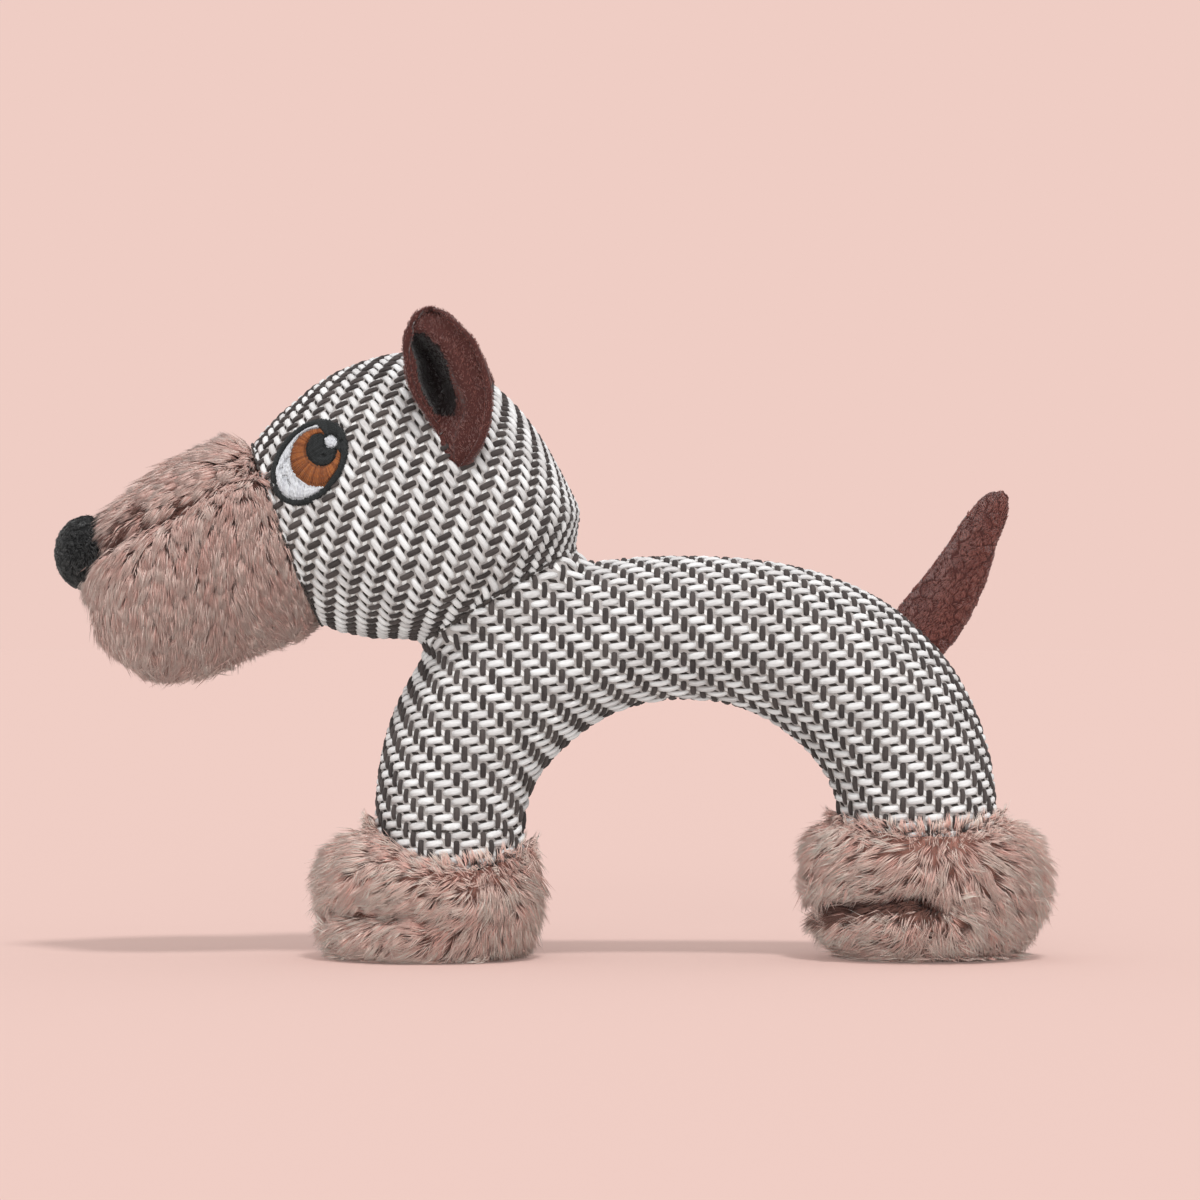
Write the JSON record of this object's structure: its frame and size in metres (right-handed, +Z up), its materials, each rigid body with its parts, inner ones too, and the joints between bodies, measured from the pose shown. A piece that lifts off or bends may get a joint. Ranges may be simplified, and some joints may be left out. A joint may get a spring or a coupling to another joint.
{
  "type": "squeaky dog toy",
  "caption": "Stuffed dog-shaped squeaky pet toy in tweed and long-pile fur, standing on two feet, with velvet ears and tail.",
  "frame": {"origin": "on the floor, under the middle of the toy's box", "axes": "+X from the nose towards the tail, +Y to the toy's right side, +Z up"},
  "size_m": [0.2602, 0.0836, 0.1683],
  "materials": {
    "tweed": "matte",
    "fur": "matte",
    "velvet": "matte",
    "black_plush": "matte",
    "black_thread": "matte",
    "white_thread": "matte",
    "brown_thread": "matte",
    "seam_thread": "matte",
    "fibre": "matte",
    "squeaker_plastic": "satin",
    "reed_plastic": "satin"
  },
  "bodies": {
    "body": {"body_panel_left": "tweed", "body_panel_right": "tweed", "belly_thread": "seam_thread", "spine_thread": "seam_thread", "chest_thread": "seam_thread", "neck_thread": "seam_thread", "front_leg_filling": "fibre", "shoulder_filling": "fibre", "back_filling_upper": "fibre", "back_filling_lower": "fibre", "rump_filling": "fibre", "hind_leg_filling": "fibre", "squeaker_base": "squeaker_plastic", "squeaker_bellows": "squeaker_plastic", "squeaker_reed_holder": "reed_plastic", "squeaker_reed": "reed_plastic", "front_paw_cover": "fur", "front_paw_sole": "fur", "front_paw_filling": "fibre", "front_paw_thread": "seam_thread", "rear_paw_cover": "fur", "rear_paw_sole": "fur", "rear_paw_filling": "fibre", "rear_paw_thread": "seam_thread"},
    "head": {"head_panel_left": "tweed", "head_panel_right": "tweed", "head_filling": "fibre", "crown_thread": "seam_thread", "chin_thread": "seam_thread", "muzzle_thread": "seam_thread", "muzzle_top_panel": "fur", "muzzle_cheek_left": "fur", "muzzle_cheek_right": "fur", "muzzle_filling": "fibre", "nose_cover": "black_plush", "nose_filling": "fibre", "eye_left_outline": "black_thread", "eye_left_white": "white_thread", "eye_left_iris": "brown_thread", "eye_left_pupil": "black_thread", "eye_left_glint": "white_thread", "eye_right_outline": "black_thread", "eye_right_white": "white_thread", "eye_right_iris": "brown_thread", "eye_right_pupil": "black_thread", "eye_right_glint": "white_thread"},
    "ear_left": {"ear_left_outer": "velvet", "ear_left_lining": "velvet"},
    "ear_right": {"ear_right_outer": "velvet", "ear_right_lining": "velvet"},
    "tail": {"tail_panel_left": "velvet", "tail_panel_right": "velvet", "tail_filling": "fibre"},
    "squeaker_top": {"squeaker_cap": "squeaker_plastic"}
  },
  "joints": [
    {"name": "neck_turn", "type": "hinge", "parent": "body", "child": "head", "pos_m": [-0.01426, 0, 0.09437], "axis": [-0.5225, 0, 0.8526], "range_deg": [-25, 25], "stiffness_Nm_per_rad": 0.25},
    {"name": "ear_left_flop", "type": "hinge", "parent": "head", "child": "ear_left", "pos_m": [-0.02757, -0.03036, 0.13574], "axis": [0.9848, 0, 0.1736], "range_deg": [-12, 30], "stiffness_Nm_per_rad": 0.01},
    {"name": "ear_right_flop", "type": "hinge", "parent": "head", "child": "ear_right", "pos_m": [-0.02757, 0.03036, 0.13574], "axis": [-0.9848, 0, -0.1736], "range_deg": [-12, 30], "stiffness_Nm_per_rad": 0.01},
    {"name": "tail_wag", "type": "hinge", "parent": "body", "child": "tail", "pos_m": [0.0963, 0, 0.08599], "axis": [0.7156, 0, -0.6986], "range_deg": [-28, 28], "stiffness_Nm_per_rad": 0.03},
    {"name": "squeaker_press", "type": "slide", "parent": "body", "child": "squeaker_top", "axis": [0, 0, -1], "range_m": [0, 0.004], "stiffness_N_per_m": 300, "deforming": ["squeaker_bellows"]}
  ]
}
